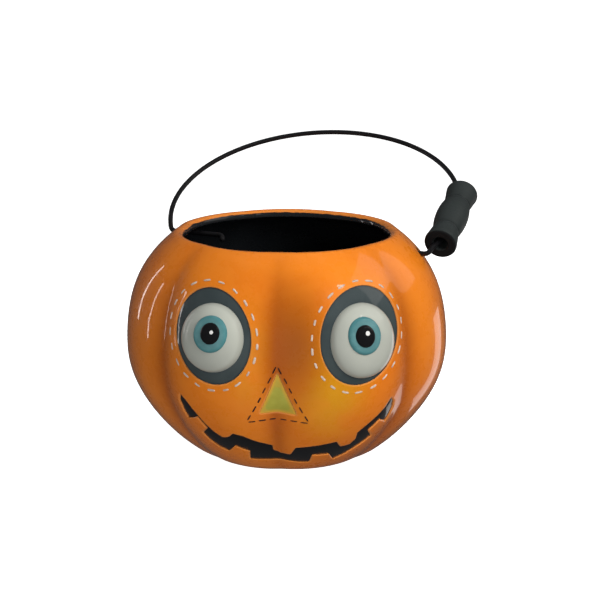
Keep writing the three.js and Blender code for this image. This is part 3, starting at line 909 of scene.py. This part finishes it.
def shell_material():
    """Orange glaze, browner in the grooves and by the face, black inside, bare under the foot."""
    g = Graph("orange_glaze")
    colour = g.mix(g.ramp(g.noise(14, 3, 0.55, 0.4), 0.35, 0.68), ORANGE, ORANGE_DEEP)
    fine = g.ramp(g.noise(160, 4, 0.6), 0.38, 0.7)
    colour = g.tint(colour, fine, 0.16, ORANGE_PALE)
    ochre = g.maths("MAXIMUM", g.spot((-19, -84, 76), (17, 30, 36)),
                    g.spot((24, -84, 58), (30, 34, 46)))
    ochre = g.maths("MULTIPLY", ochre, g.ramp(g.noise(32, 3, 0.5), 0.2, 0.6))
    colour = g.tint(colour, ochre, 0.85, OCHRE)
    colour = g.tint(colour, g.spot((6, -88, 84), (24, 34, 44), 0.8), 0.85, BROWN)
    # Darker, redder orange in the grooves.
    colour = g.tint(colour, g.maths("POWER", g.value("groove"), 2.5), 0.75, GROOVE_DARK)
    colour = g.tint(colour, g.ramp(g.value("edge"), 1.1, 0.1), 0.45, ORANGE_THIN)
    colour = g.tint(colour, g.ramp(g.value("inward"), -2.0, 2.6), 0.4, ORANGE_RIM)
    dots = g.maths("MULTIPLY", g.specks(260, 0.05), g.ramp(g.noise(75, 2, 0.5), 0.55, 0.75))
    colour = g.tint(colour, dots, 0.6, SPECK)
    uneven = g.maths("MULTIPLY", g.maths("SUBTRACT", g.noise(160, 3, 0.5), 0.5), 1.6)
    inside = g.ramp(g.maths("ADD", g.value("inward"), uneven), PAINT_FROM, PAINT_TO)
    colour = g.mix(inside, colour, g.mix(g.noise(60, 3, 0.5), INSIDE_BLACK, INSIDE_GREY))
    bare = g.ramp(g.maths("ADD", g.height(), g.maths("MULTIPLY", uneven, 0.4 * MM)),
                  1.1 * MM, 0.4 * MM)
    colour = g.mix(bare, colour, g.mix(g.noise(300, 4, 0.6), BISQUE, BISQUE_DARK))
    roughness = g.mix(bare, g.mix(fine, grey(0.26), grey(0.36)), grey(0.85))
    material = g.glaze(colour, roughness, 0.035, 0.06)
    g.shade("Coat Weight", g.maths("SUBTRACT", 1.0, bare))
    return material


def socket_material():
    g = Graph("socket_glaze")
    colour = g.mix(g.ramp(g.noise(45, 3, 0.5), 0.3, 0.7), (0.036, 0.050, 0.054),
                   (0.052, 0.068, 0.071))
    pool = g.ramp(g.value("inside"), 1.2, 0.0)
    return g.glaze(g.tint(colour, pool, 0.5, (0.018, 0.024, 0.026)), 0.32, 0.05, 0.05)


def white_material():
    g = Graph("white_glaze")
    colour = g.mix(g.ramp(g.noise(30, 3, 0.5), 0.3, 0.7), (0.46, 0.48, 0.425), (0.41, 0.43, 0.385))
    # Painted shade: the white turns greyer towards the eyeball's base, where it meets the socket.
    colour = g.tint(colour, g.ramp(g.value("height"), 4.2, 2.4), 0.3, (0.26, 0.28, 0.25))
    colour = g.tint(colour, g.specks(330, 0.045), 0.35, (0.30, 0.27, 0.20))
    return g.glaze(colour, 0.3, 0.03, 0.04)


def iris_material():
    g = Graph("iris_glaze")
    colour = g.mix(g.ramp(g.noise(120, 3, 0.6), 0.3, 0.75), (0.085, 0.215, 0.230),
                   (0.125, 0.285, 0.300))
    colour = g.tint(colour, g.ramp(g.value("radial"), 0.72, 1.0), 0.5, (0.035, 0.19, 0.21))
    return g.glaze(colour, 0.3, 0.03, 0.03)


def black_material():
    g = Graph("black_glaze")
    colour = g.mix(g.noise(70, 3, 0.5), (0.003, 0.003, 0.004), (0.008, 0.008, 0.009))
    return g.glaze(colour, 0.3, 0.04, 0.05)


def nose_material():
    g = Graph("nose_glaze")
    high = g.ramp(g.height(), 52 * MM, 68 * MM)
    colour = g.mix(high, (0.32, 0.30, 0.035), (0.34, 0.27, 0.04))
    colour = g.mix(g.ramp(g.noise(80, 3, 0.5), 0.35, 0.7), colour, (0.40, 0.38, 0.06))
    colour = g.tint(colour, g.ramp(g.value("inside"), 2.4, 0.0), 0.75, (0.72, 0.33, 0.03))
    return g.glaze(colour, 0.3, 0.04, 0.04)


def paint_material(name, colour, other):
    g = Graph(name)
    mixed = g.mix(g.ramp(g.noise(240, 3, 0.6), 0.35, 0.75), colour, other)
    return g.glaze(mixed, 0.35, 0.08, 0.04)


def wire_material():
    """A satin black coating, worn to bare steel where the wire rubs in its holes."""
    g = Graph("wire_coating")
    patch = g.maths("ADD", g.value("rub"), g.maths("MULTIPLY", g.noise(900, 4, 0.65), 0.9))
    worn = g.ramp(patch, 1.22, 1.34)
    colour = g.mix(g.noise(700, 3, 0.6), (0.004, 0.004, 0.005), (0.010, 0.010, 0.011))
    g.shade("Base Color", g.mix(worn, colour, (0.24, 0.23, 0.22)))
    g.shade("Metallic", worn)
    g.shade("Roughness", g.mix(g.noise(500, 3, 0.6), grey(0.36), grey(0.52)))
    g.shade("Normal", g.bump(g.noise(1500, 3, 0.6), 0.03))
    return g.material


def grip_material():
    """Charcoal paint over turned wood, with faint rings, scuffed beads and ends darkened as
    painted shade.
    """
    g = Graph("grip_finish")
    wave = g.add("TexNoise", Scale=1.0, Detail=4.0)
    wave.noise_dimensions = "1D"
    g.feed(wave.inputs["W"], g.maths("MULTIPLY", g.value("along"), 2.6))
    rings = wave.outputs["Fac"]
    colour = g.mix(g.noise(110, 4, 0.6), (0.018, 0.022, 0.022), (0.030, 0.036, 0.036))
    colour = g.tint(colour, g.ramp(rings, 0.45, 0.75), 0.35, (0.040, 0.047, 0.046))
    scuff = g.maths("MULTIPLY", g.value("edge"), g.noise(260, 4, 0.65))
    colour = g.tint(colour, g.ramp(scuff, 0.50, 0.62), 0.5, (0.050, 0.052, 0.050))
    # Painted shade: both end faces are darkened and lose most of their reflection.
    shaded_ends = g.ramp(g.maths("ABSOLUTE", g.value("along")), 26.3, 26.9)
    colour = g.mix(shaded_ends, colour, (0.010, 0.011, 0.012))
    g.shade("Base Color", colour)
    g.shade("Roughness", g.mix(g.noise(300, 3, 0.6), grey(0.42), grey(0.60)))
    g.shade("Specular IOR Level",
            g.maths("MULTIPLY", g.maths("SUBTRACT", 1.0, shaded_ends), 0.25))
    skin = g.bump(rings, 0.05)
    g.shade("Normal", g.bump(g.noise(800, 3, 0.6), 0.02, onto=skin))
    return g.material


# ---- Pieces ----

shell = shell_piece(shell_material())
for hole in (LEFT_HOLE, RIGHT_HOLE):
    drill(shell, hole)
shell.data.set_sharp_from_angle(angle=math.radians(62))

BLACK = black_material()
SOCKET = socket_material()
INLAY_FINISHES = [(SOCKET, "socket_glaze"), (SOCKET, "socket_glaze"),
                  (nose_material(), "nose_glaze"), (BLACK, "black_glaze")]
for inlay, (material, slot) in zip(INLAYS, INLAY_FINISHES):
    inlay_piece(inlay, material, slot)

WHITE = white_material()
IRIS = iris_material()
GLINT = paint_material("glint_white", (0.84, 0.84, 0.82), (0.70, 0.71, 0.70))
STITCH_WHITE = paint_material("stitch_white", (0.68, 0.58, 0.50), (0.52, 0.38, 0.31))
STITCH_BLACK = paint_material("stitch_black", (0.020, 0.010, 0.010), (0.045, 0.015, 0.012))
EYE_STITCH = dict(length=3.9, width=1.15, height=0.28)
NOSE_STITCH = dict(length=4.0, width=0.8, height=0.2)

for eye in EYES:
    side = eye["side"]
    eyeball_piece(eye, WHITE)
    disc_piece(f"{side}_iris_glaze", eye, *eye["iris"], 0.0, IRIS_RISE, IRIS_ROUND, "iris_glaze",
               IRIS, [f"{side}_iris"])
    disc_piece(f"{side}_pupil_glaze", eye, *eye["pupil"], IRIS_RISE, PUPIL_RISE, PUPIL_ROUND,
               "black_glaze", BLACK, [f"{side}_pupil"])
    across, up, size = eye["glint"]
    (pupil_across, pupil_up), _ = eye["pupil"]
    disc_piece(f"{side}_glint", eye, (pupil_across + across, pupil_up + up), (size, size),
               IRIS_RISE + PUPIL_RISE - GLINT_SINK, GLINT_RISE, GLINT_ROUND, "white_glaze", GLINT)
    plan = eye["stitches"]
    middle, half = eye["socket"]
    middle = (middle[0] + plan["shift"][0], middle[1] + plan["shift"][1])
    lines = loop_dashes(oval(middle, half, plan["out"]), plan["count"], plan["first"],
                        EYE_STITCH["length"])
    stitches_piece(f"{side}_eye_stitches", lines, EYE_STITCH["width"], EYE_STITCH["height"],
                   "white_glaze", STITCH_WHITE)

NOSE_STITCH_CORNERS = [(-4.3, 71.8), (-20.3, 39.8), (-4.0, 41.9), (12.2, 39.6)]
lines = []
for i, count in enumerate((6, 3, 3, 6)):
    lines += straight_dashes(NOSE_STITCH_CORNERS[i], NOSE_STITCH_CORNERS[(i + 1) % 4], count,
                             NOSE_STITCH["length"])
stitches_piece("nose_stitches", lines, NOSE_STITCH["width"], NOSE_STITCH["height"],
               "black_glaze", STITCH_BLACK)

wire_piece(wire_material())
grip_piece(grip_material())

# ---- Floor, light and camera ----


def floor_material():
    """White that glows, so that it stays even."""
    g = Graph("studio_white")
    g.shade("Base Color", g.mix(g.noise(6, 2, 0.5), grey(0.90), grey(0.8865)))
    g.shade("Roughness", 0.9)
    g.shade("Specular IOR Level", 0.1)
    g.shade("Emission Color", (1, 1, 1))
    g.shade("Emission Strength", 1.0)
    return g.material


def studio_floor():
    """A white sweep in metres: flat under the pail, curving up all round it."""
    flat, bend, wall = 2.2, 1.6, 4.0
    gap = 0.0002
    profile = [(0.0, 0.0), (flat, 0.0)]
    profile += [(flat + bend * math.sin(t), bend * (1 - math.cos(t)))
                for t in np.linspace(0, math.pi / 2, 16)[1:]]
    profile += [(flat + bend, wall)]
    n, turns = len(profile), 64
    points = []
    for turn in full_turn(turns):
        points += [(r * math.cos(turn), r * math.sin(turn), z - gap) for r, z in profile]
    faces = [(k * n + i, (k + 1) % turns * n + i, (k + 1) % turns * n + i + 1, k * n + i + 1)
             for k in range(turns) for i in range(1, n - 1)]
    faces.append(tuple(k * n + 1 for k in range(turns)))
    mesh = bpy.data.meshes.new("studio_floor")
    mesh.from_pydata(points, [], faces)
    mesh.materials.append(floor_material())
    floor = add_object("studio_floor", mesh)
    floor.visible_glossy = False
    floor.visible_diffuse = False
    floor.visible_shadow = False


def area_light(name, place, size, power, colour, glossy):
    """A light that points at the pail. One that isn't glossy leaves no highlight."""
    lamp = bpy.data.lights.new(name, "AREA")
    lamp.shape = "RECTANGLE"
    lamp.size, lamp.size_y = size
    lamp.energy = power
    lamp.color = colour
    holder = add_object(name, lamp)
    holder.location = place
    aim = Vector((0, 0, 0.07)) - Vector(place)
    holder.rotation_euler = aim.to_track_quat("-Z", "Y").to_euler()
    holder.visible_glossy = glossy


studio_floor()
# Name, place and size in metres, watts, colour, and whether it shows as a highlight.
LIGHTS = [
    ("key_soft", (0.68, -0.62, 0.72), (0.6, 0.6), 11.0, (1, 0.98, 0.95), False),
    ("fill_low", (-0.40, -0.95, 0.10), (1.0, 0.5), 4.0, (1, 1, 1), False),
    ("top_soft", (0.0, 0.2, 1.3), (1.0, 0.8), 6.0, (1, 1, 1), False),
    ("lamp_small", (0.66, -0.50, 1.02), (0.07, 0.09), 0.12, (1, 1, 1), True),
    ("table_bounce", (0.1, -0.45, -0.40), (0.9, 0.6), 1.6, (1, 0.95, 0.90), False),
    ("sheen_shoulder", (0.95, 0.10, 0.80), (0.8, 0.7), 1.2, (1, 0.93, 0.88), True),
    ("sheen_side", (0.78, 0.60, -0.34), (0.32, 0.70), 0.8, (1, 0.93, 0.90), True),
    ("strip_left", (-0.72, 0.40, 0.22), (0.04, 0.45), 0.26, (1, 0.93, 0.92), True),
    ("strip_left_2", (-0.84, 0.12, 0.18), (0.03, 0.45), 0.22, (1, 0.93, 0.92), True),
]
for light in LIGHTS:
    area_light(*light)

world = bpy.data.worlds.new("studio")
world.use_nodes = True
background = world.node_tree.nodes["Background"]
background.inputs["Color"].default_value = (0.55, 0.56, 0.58, 1)
background.inputs["Strength"].default_value = 0.11
bpy.context.scene.world = world
bpy.context.scene.view_settings.view_transform = "Standard"

CAMERA_PLACE = (0.00744, -0.82408, 0.29286)
CAMERA_AIM = (0.00744, 0, 0.08454)
lens = bpy.data.cameras.new("camera")
lens.sensor_width = 36
lens.lens = 90.4
lens.clip_start = 0.01
lens.clip_end = 50
camera = add_object("camera", lens)
camera.location = CAMERA_PLACE
aim = Vector(CAMERA_AIM) - Vector(CAMERA_PLACE)
camera.rotation_euler = aim.to_track_quat("-Z", "Y").to_euler()
bpy.context.scene.camera = camera
